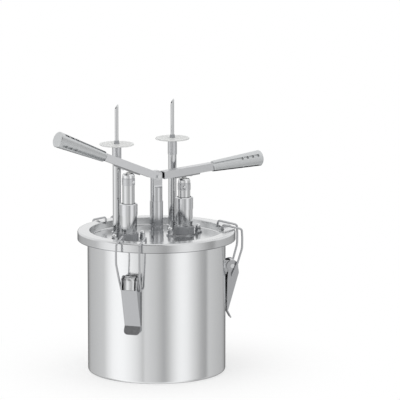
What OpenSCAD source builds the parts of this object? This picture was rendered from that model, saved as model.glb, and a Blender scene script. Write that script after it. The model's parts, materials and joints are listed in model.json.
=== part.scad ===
// Donut filler: a lidded pot with two lever pumps, each feeding its own filling needle.
// Origin at the centre of the pot's bottom, +Z up, +X along the right-hand lever.

/* [Pot] */
// Outer diameter of the pot
pot_d = 200; // [180:1:240]
// Height of the pot's flange above the table
pot_h = 202; // [170:1:260]
// Sheet thickness of the pot
pot_wall = 1.2; // [0.8:0.1:2.5]
// Radius of the pot's bottom edge
pot_edge_r = 4; // [3:0.5:10]
// Width of the flange round the pot's mouth
pot_flange_w = 9.5; // [7:0.5:11]

/* [Lid] */
// How far the lid's ring stands out past the pot
lid_overhang = 14.5; // [14:0.5:18]
// Sheet thickness of the lid's ring
ring_sheet = 2; // [1.5:0.1:2.5]
// Height of the ring's skirt
skirt_h = 13.5; // [9:0.5:16]
// Rounding of the ring's outer top edge
ring_edge_r = 3; // [1.5:0.1:4]
// Depth of the recessed pan below the ring
pan_depth = 11.7; // [9:0.1:16]
// Sheet thickness of the pan
pan_sheet = 1.5; // [1:0.1:2.5]
// Thickness of the flat gasket
gasket_t = 3; // [2:0.1:4]

/* [Central post] */
// Height of the lever pivot above the pan
pivot_h = 90; // [84:0.5:100]
// Diameter of the post's lower length
post_d = 19; // [18:0.1:21]
// Diameter of the post's upper length
post_top_d = 17.2; // [15:0.1:18]
// Height of the post's lower length above the pan
post_step_h = 53.7; // [30:0.1:60]
// Diameter of the post's base collar
post_collar_d = 20.5; // [20:0.1:24]
// Height of the post's base collar
post_collar_h = 10; // [5:0.5:14]
// Diameter of the post's threaded stud below the pan
post_stud_d = 8; // [6:0.1:10]
// Diameter of the lever pivot pin
pivot_d = 4; // [3:0.1:5]
// Diameter of the pivot pin's heads
pivot_head_d = 5.4; // [5.2:0.1:7]
// How far the pivot pin's front head stands out
pivot_head_h = 2.5; // [1:0.1:3.5]

/* [Levers] */
// Outer side of the square lever tube
lever_side = 11; // [10:0.1:14]
// Wall of the square lever tube
lever_wall = 1.5; // [1:0.1:2]
// Length from the pivot to the end of the handle
lever_len = 181; // [165:1:200]
// Distance from the pivot to the cut-back end of the tube
tube_cut = 10.8; // [10.5:0.1:14]
// Angle of the left lever above level, at rest
left_angle = 22.5; // [15:0.5:22.5]
// Angle of the right lever above level, at rest
right_angle = 3; // [-6:0.5:20]
// Thickness of the wear pad under the tube
pad_t = 2; // [1.5:0.1:3]
// Width of the wear pad
pad_w = 9.6; // [8:0.1:10]
// Distance from the pivot to the wear pad's inner end
pad_start = 30; // [24:0.5:34]
// Distance from the pivot to the wear pad's outer end
pad_end = 73; // [66:0.5:80]
// Distance from the pivot to the pad's screw
pad_screw_x = 59.5; // [58:0.5:62]
// Diameter of the pad's screw
pad_screw_d = 3; // [2:0.1:4]

/* [Handles] */
// Length of the handle
handle_len = 85; // [70:1:100]
// Diameter of the handle at its outer end
handle_d = 23.3; // [20:0.1:28]
// Diameter of the handle at its inner end
handle_neck_d = 15.5; // [15:0.1:18]
// Width of the handle's flutes
flute_w = 4; // [3:0.1:5]
// Depth of the handle's flutes
flute_depth = 2.6; // [1.5:0.1:3]
// Solid length between the handle's end and its flutes
flute_end = 6.2; // [4:0.1:8]
// Spacing of the short cells at the outer end of each flute
cell_pitch = 9.1; // [7:0.1:10]
// Thickness of the ribs between the cells
rib_t = 1; // [0.8:0.1:2]
// Turn of the flutes from the corners of the tube
flute_turn = 11; // [0:1:20]
// Diameter of the round tang inside the handle
tang_d = 8; // [6:0.1:9]
// Length of the round tang
tang_len = 60; // [40:1:64]

/* [Pumps] */
// Distance from the post to each pump
pump_x = 48; // [46:0.5:52]
// Outer diameter of the pump cylinder
cylinder_d = 24.6; // [24:0.1:26]
// Bore of the pump cylinder
cylinder_bore = 20.6; // [20.2:0.1:21.4]
// Height of the gland cap's top above the pan
cap_top_h = 54.9; // [50:0.1:55.5]
// Diameter of the gland cap
cap_d = 26; // [26:0.1:29]
// Height of the gland cap
cap_h = 17.2; // [12:0.1:20]
// Thickness of the gland cap's top
cap_lip = 4.2; // [3:0.1:6]
// Height of the gland seal
gland_seal_h = 3.6; // [2:0.1:5]
// Depth of the pump cylinder below the pan
cylinder_drop = 85.3; // [75:0.1:100]
// Diameter of the dark collar round the cylinder
collar_d = 29; // [28:0.1:32]
// Thickness of the pump flange
flange_t = 2; // [1.5:0.1:3]
// Distance from the pump's axis to each flange stud
stud_x = 24; // [23.5:0.1:24.5]
// Diameter of the flange studs
stud_d = 4.8; // [4:0.1:5.2]
// Width across the flats of the cap nuts
nut_af = 8; // [8:0.1:9]
// Height of the cap nuts
nut_h = 10; // [9:0.1:12]
// Diameter of the washers
washer_d = 10; // [9.5:0.1:11]
// Thickness of the washers
washer_t = 1; // [0.8:0.1:1.6]

/* [Plungers] */
// Diameter of the plunger rod
rod_d = 17.8; // [17:0.1:18.4]
// Wall of the hollow plunger rod
rod_wall = 1.7; // [1.2:0.1:2]
// Diameter of the matte band on the plunger head
band_d = 18.8; // [18.6:0.1:20]
// Height of the matte band
band_h = 10.5; // [9:0.1:11]
// Length of the plunger head above the matte band
head_top_h = 6.8; // [6:0.1:8]
// Rounding of the plunger head's top edge
head_round = 4; // [3:0.1:4]
// Radius of the domed contact button
button_r = 5; // [4.5:0.1:5.5]
// How far the contact button stands above the head
button_rise = 2.1; // [1.8:0.1:2.6]
// Diameter of the cross pin through the head
cross_pin_d = 5.6; // [4:0.1:6]
// Length of the cross pin
cross_pin_len = 22.8; // [22:0.1:25]
// Turn of the left cross pin about the plunger's axis
left_pin_turn = 199; // [0:1:359]
// Turn of the right cross pin about the plunger's axis
right_pin_turn = 148; // [0:1:359]
// Length of the piston below its stop shoulder
piston_len = 91.6; // [80:0.1:96]
// Depth of the spring bore in the piston
spring_bore_depth = 65; // [50:1:75]
// Outer diameter of the return spring
spring_d = 13.6; // [12.8:0.1:13.8]
// Wire diameter of the return spring
spring_wire = 1.4; // [1:0.1:1.6]
// Number of turns of the return spring
spring_turns = 11; // [8:1:13]

/* [Valves] */
// Diameter of the valve balls
ball_d = 10; // [9.6:0.1:10.4]
// Bore of the valve seats
seat_bore = 7; // [6:0.1:7.4]
// Lift of the valve balls
ball_lift = 2.5; // [1.5:0.1:3]
// Diameter of the ball chambers
chamber_d = 11.4; // [11:0.1:12]
// Outer diameter of the pump foot round the cylinder
foot_d = 32; // [30:0.5:36]
// Height of the pump foot
foot_h = 30; // [29:0.5:34]
// Diameter of the foot's boss round the riser
foot_boss_d = 20; // [18:0.5:24]

/* [Filling risers] */
// Distance of each riser behind its pump
riser_y = 31; // [29:0.5:34]
// Outer diameter of the riser tube
riser_d = 12; // [11:0.1:13]
// Bore of the riser tube
riser_bore = 9.2; // [8.6:0.1:9.4]
// Height of the riser above the pan
riser_h = 135.7; // [110:0.1:160]
// Diameter of the boss round the riser
boss_d = 15; // [14.5:0.1:18]
// Height of the boss round the riser
boss_h = 8.6; // [5:0.1:12]
// Diameter of the sleeve under the disc
sleeve_d = 13.4; // [13.2:0.1:15]
// Length of the sleeve under the disc
sleeve_h = 22.5; // [15:0.1:30]
// Diameter of the rest disc
disc_d = 50; // [40:0.5:60]
// Thickness of the rest disc
disc_t = 2; // [1.5:0.1:4]
// Outer diameter of the needle
needle_d = 5.2; // [4.6:0.1:6]
// Bore of the needle
needle_bore = 3.6; // [3:0.1:4]
// Height of the needle's point above the disc
needle_h = 57; // [40:1:70]
// Angle of the needle's bevel from its axis
needle_bevel = 35; // [25:1:60]
// Diameter of the cone nut at its foot
cone_nut_d = 8; // [7:0.1:10]
// Height of the cone nut
cone_nut_h = 4.5; // [3:0.1:6]

/* [Latches] */
// Width of the latch lever
latch_w = 24; // [22:0.5:28]
// Sheet thickness of the latch parts
latch_sheet = 1.5; // [1.2:0.1:1.6]
// Distance of the latch pivot from the pot's wall
latch_pivot_out = 10; // [9.8:0.1:11]
// Depth of the latch pivot below the ring's top
latch_pivot_drop = 56; // [52:0.5:60]
// Distance of the bail's pivot below the latch pivot
bail_drop = 13.5; // [12:0.1:15]
// Wire diameter of the bail
bail_wire = 3; // [2.5:0.1:3.2]
// Width of the latch bracket
bracket_w = 20; // [18:0.5:20.5]
// Diameter of the latch pivot pin
latch_pin_d = 4; // [3:0.1:5]

/* [Hidden] */
$fn = 96;
eps = 0.01;

// Clearances: of a loose fit, of a turning pin, of a piece that only rests near another
fit = 0.1;
pin_fit = 0.05;
seat_gap = 0.3;

// Heights and radii that the lid and the pot share
pot_r = pot_d / 2;
ring_r = pot_r + lid_overhang;
ring_top = pot_h + gasket_t + ring_sheet;
pan_z = ring_top - pan_depth;
pan_under = pan_z - pan_sheet;
pan_ro = pot_r - pot_wall - 2 * seat_gap;
pan_r = pan_ro - 1.2;
skirt_wall = 2;
pan_fillet = 2;
ring_lip_r = 1;

// The lever pivot, and where a lever at angle a holds the centre of its contact button
pivot_z = pan_z + pivot_h;
function button_z(a) =
  pivot_z + pump_x * tan(a) - (lever_side / 2 + pad_t + button_r + seat_gap) / cos(a);
released_angle = 22.5;
handle_x = lever_len - handle_len;

// Levels of the pump, from the gland down to the foot
cap_top = pan_z + cap_top_h;
cap_bottom = cap_top - cap_h;
seal_top = cap_top - cap_lip - fit;
cylinder_top = seal_top - gland_seal_h - fit;
piston_d = cylinder_bore - 2 * fit;
rod_bore = rod_d - 2 * rod_wall;
shoulder_drop = button_z(released_angle) - (cylinder_top - seat_gap);
head_top = button_r - button_rise;
band_top = head_top - head_top_h;
band_bottom = band_top - band_h;
cross_pin_drop = band_top - band_h * 0.56;
spigot_d = 12;
spigot_h = 9;
flange_top = pan_z + flange_t;
stud_head_d = 9;
stud_head_h = 1.5;
nut_hex_h = 4.5;

// The foot: ball seats, ball places and the riser's end
ledge_z = pan_z - cylinder_drop;
socket_h = 10;
foot_top = ledge_z + socket_h;
foot_bottom = foot_top - foot_h;
ball_r = ball_d / 2;
seat_sink = sqrt(ball_r * ball_r - seat_bore * seat_bore / 4);
inlet_edge = ledge_z - 12;
inlet_ball_z = inlet_edge + seat_sink + fit;
throat_d = 8;
throat_rise = sqrt(ball_r * ball_r - throat_d * throat_d / 4);
inlet_stop = inlet_ball_z + ball_lift + throat_rise + seat_gap;
outlet_edge = ledge_z - 3;
outlet_ball_z = outlet_edge + seat_sink + fit;
riser_stop_rise = sqrt(ball_r * ball_r - riser_bore * riser_bore / 4);
riser_foot = outlet_ball_z + ball_lift + riser_stop_rise + seat_gap;
inlet_seat_d = 16;
inlet_seat_flange_d = 20;
inlet_seat_flange_h = 3;

// The riser's head
disc_z = pan_z + riser_h;
needle_plug_h = 10;

// The latches stand at these turns about the pot
latch_turns = [217.5, 337.5, 97.5];
latch_x = pot_r + latch_pivot_out;
latch_z = ring_top - latch_pivot_drop;
bail_x = latch_x - 1;
bail_z = latch_z - bail_drop;
ear_r = 8.5;
plate_top = [latch_x + 9.5, latch_z - 10];
plate_foot = [pot_r + 3.5, latch_z - 66];
lip_len = 14;
lip_turn = 27;
bail_r = bail_wire / 2;
leg_half = latch_w / 2 + bail_r + 1.2;
hook_half = leg_half + 2.4;
hook_x = sqrt(pow(pan_r - bail_r - 2 * seat_gap, 2) - pow(hook_half, 2));

function unit(v) = v / norm(v);

// ---------------------------------------------------------------- shared shapes

// Half section of a round vessel with a rounded bottom edge
module rounded_half(r, h, edge) {
  square([r - edge, h]);
  translate([0, edge]) square([r, h - edge]);
  translate([r - edge, edge]) circle(edge);
}

// Plain ring from z0 to z1
module ring(ro, ri, z0, z1) {
  translate([0, 0, z0]) difference() {
    cylinder(h = z1 - z0, r = ro);
    translate([0, 0, -eps]) cylinder(h = z1 - z0 + 2 * eps, r = ri);
  }
}

// Bar of square section with its faces across X
module along_x(x0, x1, w, h) {
  translate([x0, -w / 2, -h / 2]) cube([x1 - x0, w, h]);
}

// Puts its children at both pumps, the left one turned half round
module at_pumps() {
  for (side = [-1, 1]) translate([side * pump_x, 0, 0]) children();
}

// Puts its children at one pump: -1 is the left, 1 the right
module at_pump(side) {
  translate([side * pump_x, 0, 0]) children();
}

// Round wire through the points p, with a bend of radius b[i] at each inner point.
// The straights run a little way into the bends, which are a hair thicker.
module wire(p, b, r) {
  n = len(p);
  into = 0.2;
  d = [for (i = [0:n - 2]) unit(p[i + 1] - p[i])];
  turn = [for (i = [0:n - 1]) (i == 0 || i == n - 1) ? 0 : acos(d[i - 1] * d[i])];
  cut = [for (i = [0:n - 1]) (i == 0 || i == n - 1) ? 0 : b[i] * tan(turn[i] / 2) - into];
  for (i = [0:n - 2]) rod_between(p[i] + d[i] * cut[i], p[i + 1] - d[i] * cut[i + 1], r);
  for (i = [1:n - 2]) bend_at(p[i], d[i - 1], d[i], b[i], turn[i], r + 0.02);
}

module rod_between(a, c, r) {
  v = c - a;
  translate(a)
    rotate([0, acos(v[2] / norm(v)), atan2(v[1], v[0])])
      cylinder(h = norm(v), r = r);
}

module bend_at(p, d_in, d_out, b, turn, r) {
  centre = p + unit(d_out - d_in) * b / cos(turn / 2);
  e1 = unit(p - d_in * b * tan(turn / 2) - centre);
  n = unit(cross(d_in, d_out));
  e2 = cross(n, e1);
  multmatrix([
    [e1[0], e2[0], n[0], centre[0]],
    [e1[1], e2[1], n[1], centre[1]],
    [e1[2], e2[2], n[2], centre[2]],
    [0, 0, 0, 1]
  ]) rotate_extrude(angle = turn) translate([b, 0]) circle(r);
}

// ---------------------------------------------------------------- pot and lid

module pot() {
  color("silver") rotate_extrude() {
    difference() {
      rounded_half(pot_r, pot_h, pot_edge_r);
      translate([0, pot_wall])
        rounded_half(pot_r - pot_wall, pot_h, pot_edge_r - pot_wall);
    }
    translate([pot_r - pot_wall, pot_h - pot_wall])
      square([pot_flange_w + pot_wall, pot_wall]);
  }
}

module lid_section() {
  difference() {
    union() {
      translate([0, ring_top - skirt_h])
        square([ring_r - ring_edge_r, skirt_h]);
      translate([0, ring_top - skirt_h])
        square([ring_r, skirt_h - ring_edge_r]);
      translate([ring_r - ring_edge_r, ring_top - ring_edge_r])
        circle(ring_edge_r);
      translate([0, pan_under]) square([pan_ro, pan_depth]);
    }
    translate([0, pan_z]) rounded_half(pan_r, pan_depth + 1, pan_fillet);
    translate([pan_r - eps, ring_top - ring_lip_r]) difference() {
      square([ring_lip_r + eps, ring_lip_r + 1]);
      translate([ring_lip_r + eps, 0]) circle(ring_lip_r);
    }
    translate([0, pan_under - skirt_h]) square([pan_ro + eps, skirt_h]);
    translate([pan_ro, pan_under - skirt_h])
      square([ring_r - skirt_wall - pan_ro, ring_top - ring_sheet - pan_under + skirt_h]);
  }
}

module lid() {
  color("gainsboro") difference() {
    rotate_extrude() lid_section();
    translate([0, 0, pan_under - 1]) {
      cylinder(h = pan_sheet + 2, r = post_stud_d / 2 + fit);
      at_pumps() {
        cylinder(h = pan_sheet + 2, r = cylinder_d / 2 + fit);
        translate([0, riser_y, 0]) cylinder(h = pan_sheet + 2, r = riser_d / 2 + fit);
        for (side = [-1, 1])
          translate([side * stud_x, 0, 0]) cylinder(h = pan_sheet + 2, r = stud_d / 2 + fit);
      }
    }
  }
}

module lid_gasket() {
  color("whitesmoke")
    ring(pot_r + pot_flange_w - 0.5, pot_r, pot_h, pot_h + gasket_t);
}

// ---------------------------------------------------------------- central post

tongue_t = lever_side - 2 * lever_wall - 4 * fit;
tongue_drop = 16;
tongue_runout = 5;

// Cut that leaves one flat of the tongue, with a milled run-out at its foot
module tongue_cut() {
  reach = post_top_d;
  translate([-reach, tongue_t / 2, pivot_z - tongue_drop + tongue_runout])
    cube([2 * reach, reach, tongue_drop + reach]);
  translate([-reach, tongue_t / 2 + tongue_runout, pivot_z - tongue_drop + tongue_runout])
    rotate([0, 90, 0]) cylinder(h = 2 * reach, r = tongue_runout);
  translate([-reach, tongue_t / 2 + tongue_runout, pivot_z - tongue_drop])
    cube([2 * reach, reach, tongue_runout + eps]);
}

module post() {
  color("darkgray") difference() {
    union() {
      translate([0, 0, pan_z]) cylinder(h = post_collar_h, d = post_collar_d);
      translate([0, 0, pan_z]) cylinder(h = post_step_h, d = post_d);
      translate([0, 0, pan_z]) cylinder(h = pivot_h, d = post_top_d);
      intersection() {
        translate([0, 0, pivot_z - eps]) cylinder(h = post_top_d, d = post_top_d);
        translate([0, post_top_d, pivot_z])
          rotate([90, 0, 0]) cylinder(h = 2 * post_top_d, d = post_top_d);
      }
      translate([0, 0, pan_under - 12]) cylinder(h = 12 + pan_sheet + eps, d = post_stud_d);
    }
    tongue_cut();
    mirror([0, 1, 0]) tongue_cut();
    translate([0, post_top_d, pivot_z])
      rotate([90, 0, 0]) cylinder(h = 2 * post_top_d, r = pivot_d / 2 + pin_fit);
  }
}

module post_nut() {
  color("silver") translate([0, 0, pan_under - 7.9]) difference() {
    union() {
      cylinder(h = 6.5, d = post_stud_d * 1.625 / cos(30), $fn = 6);
      translate([0, 0, 6.5]) cylinder(h = 1.4, d = post_stud_d * 2);
    }
    translate([0, 0, -1]) cylinder(h = 10, r = post_stud_d / 2 + fit);
  }
}

module pivot_pin() {
  half = lever_side / 2;
  color("whitesmoke") translate([0, 0, pivot_z]) rotate([90, 0, 0]) {
    translate([0, 0, -half - 2 * fit]) cylinder(h = 2 * half + 4 * fit, d = pivot_d);
    translate([0, 0, half + fit]) cylinder(h = pivot_head_h, d = pivot_head_d);
    translate([0, 0, -half - fit - 1.4]) cylinder(h = 1.4, d = pivot_head_d);
  }
}

// ---------------------------------------------------------------- levers

// Lays its children, drawn along +X from the pivot, on the left or right lever
module on_lever(side) {
  turn = side < 0 ? 180 : 0;
  angle = side < 0 ? left_angle : right_angle;
  translate([0, 0, pivot_z]) rotate([0, 0, turn]) rotate([0, -angle, 0]) children();
}

module lever_body() {
  half = lever_side / 2;
  inner = lever_side - 2 * lever_wall;
  color("silver") difference() {
    union() {
      difference() {
        along_x(tube_cut, handle_x, lever_side, lever_side);
        along_x(tube_cut - 1, handle_x - 4, inner, inner);
      }
      translate([0, half - lever_wall, -half]) cube([tube_cut + 1, lever_wall, lever_side]);
      translate([0, half, 0]) rotate([90, 0, 0]) cylinder(h = lever_wall, r = half);
      translate([handle_x - eps, 0, 0]) rotate([0, 90, 0]) cylinder(h = tang_len, d = tang_d);
    }
    translate([0, lever_side, 0])
      rotate([90, 0, 0]) cylinder(h = 2 * lever_side, r = pivot_d / 2 + pin_fit);
    translate([pad_screw_x, 0, -lever_side]) cylinder(h = lever_side, r = pad_screw_d / 2 + fit);
  }
}

module flute_cell(x0, x1, taper) {
  translate([handle_x, 0, 0]) rotate([0, -taper, 0])
    translate([x0, -flute_w / 2, handle_neck_d / 2 - flute_depth])
      cube([x1 - x0, flute_w, handle_d / 2]);
}

module handle_body() {
  r0 = handle_neck_d / 2;
  r1 = handle_d / 2;
  taper = atan((r1 - r0) / handle_len);
  cells = 3;
  first = handle_len - flute_end;
  color("lightgray") difference() {
    translate([handle_x, 0, 0]) rotate([0, 90, 0]) rotate_extrude() polygon([
      [tang_d / 2 + fit, 0],
      [r0 - 1.2, 0],
      [r0 - 0.3, 0.8],
      [r0 + 0.1, 2.2],
      [r1 - 0.05, handle_len - 1],
      [r1 - 1, handle_len],
      [0, handle_len],
      [0, tang_len + 1],
      [tang_d / 2 + fit, tang_len + 1]
    ]);
    for (k = [0:3]) rotate([45 + flute_turn + 90 * k, 0, 0]) {
      for (c = [0:cells - 1])
        flute_cell(first - c * cell_pitch - cell_pitch + rib_t, first - c * cell_pitch, taper);
      flute_cell(-5, first - cells * cell_pitch, taper);
    }
  }
}

module wear_pad_body() {
  top = -lever_side / 2;
  color("dimgray") difference() {
    translate([0, pad_w / 2, 0]) rotate([90, 0, 0]) linear_extrude(pad_w) polygon([
      [pad_start, top],
      [pad_start + 1, top - pad_t],
      [pad_end - 1, top - pad_t],
      [pad_end, top]
    ]);
    translate([pad_screw_x, 0, -lever_side]) cylinder(h = lever_side, r = pad_screw_d / 2 + fit);
  }
}

module pad_screw_body() {
  under = -lever_side / 2 - pad_t;
  color("gray") translate([pad_screw_x, 0, 0]) {
    translate([0, 0, under - 1.4]) cylinder(h = 1.4, d1 = pad_screw_d + 1, d2 = pad_screw_d + 2);
    translate([0, 0, under - eps]) cylinder(h = pad_t + lever_wall + 2, d = pad_screw_d);
  }
}

// ---------------------------------------------------------------- pump, outside

// Rhombus with round corners: a round middle drawn out to a small round end on each side
module flange_outline() {
  r1 = cylinder_d / 2 + 5;
  r2 = washer_d / 2 + 1;
  a = acos((r1 - r2) / stud_x);
  circle(r1);
  for (side = [-1, 1]) translate([side * stud_x, 0]) circle(r2);
  polygon([
    [-stud_x - r2 * cos(a), r2 * sin(a)],
    [-r1 * cos(a), r1 * sin(a)],
    [r1 * cos(a), r1 * sin(a)],
    [stud_x + r2 * cos(a), r2 * sin(a)],
    [stud_x + r2 * cos(a), -r2 * sin(a)],
    [r1 * cos(a), -r1 * sin(a)],
    [-r1 * cos(a), -r1 * sin(a)],
    [-stud_x - r2 * cos(a), -r2 * sin(a)]
  ]);
}

module pump_flanges() {
  color("silver") at_pumps() translate([0, 0, pan_z]) difference() {
    linear_extrude(flange_t) flange_outline();
    translate([0, 0, -1]) cylinder(h = flange_t + 2, r = cylinder_d / 2 + fit);
    for (side = [-1, 1])
      translate([side * stud_x, 0, -1]) cylinder(h = flange_t + 2, r = stud_d / 2 + fit);
  }
}

module at_studs() {
  at_pumps() for (side = [-1, 1]) translate([side * stud_x, 0, 0]) children();
}

module flange_studs() {
  color("gray") at_studs() {
    translate([0, 0, pan_under - stud_head_h]) cylinder(h = stud_head_h, d = stud_head_d);
    translate([0, 0, pan_under - eps])
      cylinder(h = pan_sheet + flange_t + washer_t + nut_h - 3, d = stud_d);
  }
}

module washers() {
  color("silver") at_studs()
    ring(washer_d / 2, stud_d / 2 + fit, flange_top, flange_top + washer_t);
}

module cap_nuts() {
  base = flange_top + washer_t;
  dome_r = nut_af * 0.46;
  color("whitesmoke") at_studs() translate([0, 0, base]) difference() {
    union() {
      cylinder(h = nut_hex_h, d = nut_af / cos(30), $fn = 6);
      cylinder(h = nut_h - dome_r, r = dome_r);
      translate([0, 0, nut_h - dome_r]) sphere(dome_r);
    }
    translate([0, 0, -1]) cylinder(h = nut_h - 1, r = stud_d / 2 + fit);
  }
}

module pump_collars() {
  lines = 4;
  h = ring_top - flange_top;
  color("dimgray") at_pumps() translate([0, 0, flange_top]) rotate_extrude() difference() {
    translate([cylinder_d / 2 + fit, 0]) square([(collar_d - cylinder_d) / 2 - fit, h]);
    for (k = [1:lines]) translate([collar_d / 2 - 0.3, k * h / (lines + 1) - 0.2]) square([1, 0.4]);
  }
}

module pump_cylinder() {
  color("lightgray") difference() {
    ring(cylinder_d / 2, cylinder_bore / 2, ledge_z, cylinder_top);
    ring(cylinder_d, cylinder_d / 2 - 0.3, ring_top + 2.4, ring_top + 3);
  }
}

module gland_caps() {
  color("gainsboro") at_pumps() translate([0, 0, cap_bottom]) rotate_extrude() difference() {
    translate([rod_d / 2 + fit, 0]) polygon([
      [0, 0],
      [(cap_d - rod_d) / 2 - fit, 0],
      [(cap_d - rod_d) / 2 - fit, cap_h - 1],
      [(cap_d - rod_d) / 2 - fit - 1, cap_h],
      [1.4, cap_h],
      [0, cap_h - 1.4]
    ]);
    square([cylinder_d / 2 + pin_fit, cap_h - cap_lip]);
  }
}

module gland_seals() {
  color("white") at_pumps()
    ring(cylinder_d / 2 - fit, rod_d / 2 + fit, cylinder_top + fit, seal_top);
}

// ---------------------------------------------------------------- plunger

// The plunger's pieces are drawn from the centre of the contact button
module on_plunger(side) {
  angle = side < 0 ? left_angle : right_angle;
  at_pump(side) translate([0, 0, button_z(angle)]) children();
}

module plunger_rod_body() {
  piston_top = -shoulder_drop;
  piston_foot = piston_top - piston_len;
  groove = 2.2;
  color("gainsboro") difference() {
    union() {
      translate([0, 0, piston_top - eps]) cylinder(h = band_bottom - piston_top + eps, d = rod_d);
      translate([0, 0, band_bottom - eps]) cylinder(h = spigot_h + eps, d = spigot_d);
      translate([0, 0, piston_foot]) cylinder(h = piston_len, d = piston_d);
    }
    translate([0, 0, piston_foot - 1]) cylinder(h = spring_bore_depth + 1, d = rod_bore);
    for (k = [1, 2]) ring(piston_d, piston_d / 2 - 1.4, piston_foot + 3 * k, piston_foot + 3 * k + groove);
    cross_pin_bore();
  }
}

module cross_pin_bore() {
  translate([0, 0, cross_pin_drop])
    rotate([90, 0, 0]) cylinder(h = 3 * band_d, r = cross_pin_d / 2 + pin_fit, center = true);
}

module plunger_head_body() {
  r = rod_d / 2;
  color("darkgray") difference() {
    union() {
      translate([0, 0, band_top - 0.8]) rotate_extrude() {
        rounded_top = head_top_h + 0.8;
        square([r - head_round, rounded_top]);
        square([r, rounded_top - head_round]);
        translate([r - head_round, rounded_top - head_round]) circle(head_round);
      }
      translate([0, 0, band_bottom]) cylinder(h = band_h - 0.8, d = band_d);
    }
    ring(band_d, r - 0.4, band_top - 0.8, band_top - 0.1);
    translate([0, 0, band_bottom - eps]) cylinder(h = spigot_h + fit, r = spigot_d / 2 + pin_fit);
    translate([0, 0, head_top - 4.2]) cylinder(h = 5, r = 2.5 + pin_fit);
    cross_pin_bore();
  }
}

module contact_button_body() {
  color("white") {
    intersection() {
      sphere(button_r);
      translate([0, 0, head_top]) cylinder(h = button_r, r = button_r);
    }
    translate([0, 0, head_top - 4]) cylinder(h = 4 + eps, r = 2.5);
  }
}

module cross_pin_body() {
  straight = cross_pin_len - cross_pin_d;
  color("whitesmoke") translate([0, 0, cross_pin_drop]) rotate([90, 0, 0]) {
    cylinder(h = straight, d = cross_pin_d, center = true);
    for (side = [-1, 1]) translate([0, 0, side * straight / 2]) sphere(d = cross_pin_d);
  }
}

module piston_seals_body() {
  foot = -shoulder_drop - piston_len;
  color("dimgray") for (k = [1, 2]) translate([0, 0, foot + 3 * k + 1.1])
    rotate_extrude() translate([piston_d / 2 - 0.7, 0]) circle(0.65, $fn = 32);
}

// A coil spring from z0 to z1: one unbroken tube of six sides along a helix
spring_sides = 6;
rings_per_turn = 10;
function coil_centre(t, z0, z1) = [
  (spring_d - spring_wire) / 2 * cos(360 * spring_turns * t),
  (spring_d - spring_wire) / 2 * sin(360 * spring_turns * t),
  z0 + (z1 - z0) * t
];
function coil_point(t, k, z0, z1) =
  let (
    a = 360 * spring_turns * t,
    out = [cos(a), sin(a), 0],
    round_len = PI * (spring_d - spring_wire) * spring_turns,
    ahead = unit([-sin(a), cos(a), (z1 - z0) / round_len]),
    up = cross(out, ahead),
    b = 360 * k / spring_sides
  )
  coil_centre(t, z0, z1) + spring_wire / 2 * (cos(b) * out + sin(b) * up);

module return_spring(side) {
  n = rings_per_turn * spring_turns;
  s = spring_sides;
  angle = side < 0 ? left_angle : right_angle;
  bore_top = button_z(angle) - shoulder_drop - piston_len + spring_bore_depth;
  z0 = ledge_z + spring_wire / 2 + fit;
  z1 = bore_top - spring_wire / 2 - fit;
  points = [for (i = [0:n]) for (k = [0:s - 1]) coil_point(i / n, k, z0, z1)];
  lower = [for (i = [0:n - 1]) for (k = [0:s - 1]) [i * s + k, i * s + (k + 1) % s, (i + 1) * s + k]];
  upper = [for (i = [0:n - 1]) for (k = [0:s - 1])
    [i * s + (k + 1) % s, (i + 1) * s + (k + 1) % s, (i + 1) * s + k]];
  start = [[for (k = [0:s - 1]) s - 1 - k]];
  finish = [[for (k = [0:s - 1]) n * s + k]];
  color("gray") at_pump(side) polyhedron(points, concat(lower, upper, start, finish));
}

// ---------------------------------------------------------------- pump foot and valves

module pump_foot() {
  channel_z = outlet_edge - seat_bore;
  color("darkgray") difference() {
    union() {
      translate([0, 0, foot_bottom]) cylinder(h = foot_h, d = foot_d);
      translate([0, riser_y, foot_bottom]) cylinder(h = foot_h, d = foot_boss_d);
      translate([-seat_bore, 0, foot_bottom]) cube([2 * seat_bore, riser_y, foot_h - socket_h]);
    }
    translate([0, 0, ledge_z]) cylinder(h = socket_h + 1, r = cylinder_d / 2 + fit);
    translate([0, 0, inlet_stop - eps]) cylinder(h = ledge_z - inlet_stop + 1, d = throat_d);
    translate([0, 0, inlet_edge]) cylinder(h = inlet_stop - inlet_edge, d = chamber_d);
    translate([0, 0, foot_bottom - 1])
      cylinder(h = inlet_edge - foot_bottom + 1 + fit, r = inlet_seat_d / 2 + fit);
    translate([0, riser_y, riser_foot]) cylinder(h = foot_h, r = riser_d / 2 + fit);
    translate([0, riser_y, outlet_edge]) cylinder(h = riser_foot - outlet_edge + eps, d = chamber_d);
    translate([0, riser_y, channel_z]) cylinder(h = seat_bore + eps, d = seat_bore);
    translate([0, 0, channel_z]) rotate([-90, 0, 0]) cylinder(h = riser_y, d = seat_bore);
  }
}

module inlet_seats() {
  flange_z = foot_bottom - inlet_seat_flange_h;
  color("silver") at_pumps() difference() {
    union() {
      translate([0, 0, flange_z]) cylinder(h = inlet_seat_flange_h, d = inlet_seat_flange_d);
      translate([0, 0, flange_z]) cylinder(h = inlet_edge - flange_z, d = inlet_seat_d);
    }
    translate([0, 0, flange_z - 1]) cylinder(h = inlet_edge - flange_z + 2, d = seat_bore);
  }
}

module inlet_ball(side) {
  color("lightgray") at_pump(side) translate([0, 0, inlet_ball_z]) sphere(ball_r);
}

module outlet_ball(side) {
  color("lightgray") at_pump(side) translate([0, riser_y, outlet_ball_z]) sphere(ball_r);
}

// ---------------------------------------------------------------- filling risers

module at_riser(side) {
  translate([side * pump_x, riser_y, 0]) children();
}

module riser_bosses() {
  color("silver") for (side = [-1, 1])
    at_riser(side) ring(boss_d / 2, riser_d / 2 + fit, pan_z, pan_z + boss_h);
}

module riser() {
  color("gainsboro") ring(riser_d / 2, riser_bore / 2, riser_foot, disc_z);
}

module disc_sleeves() {
  color("darkgray") for (side = [-1, 1])
    at_riser(side) ring(sleeve_d / 2, riser_d / 2 + fit, disc_z - sleeve_h, disc_z);
}

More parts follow.
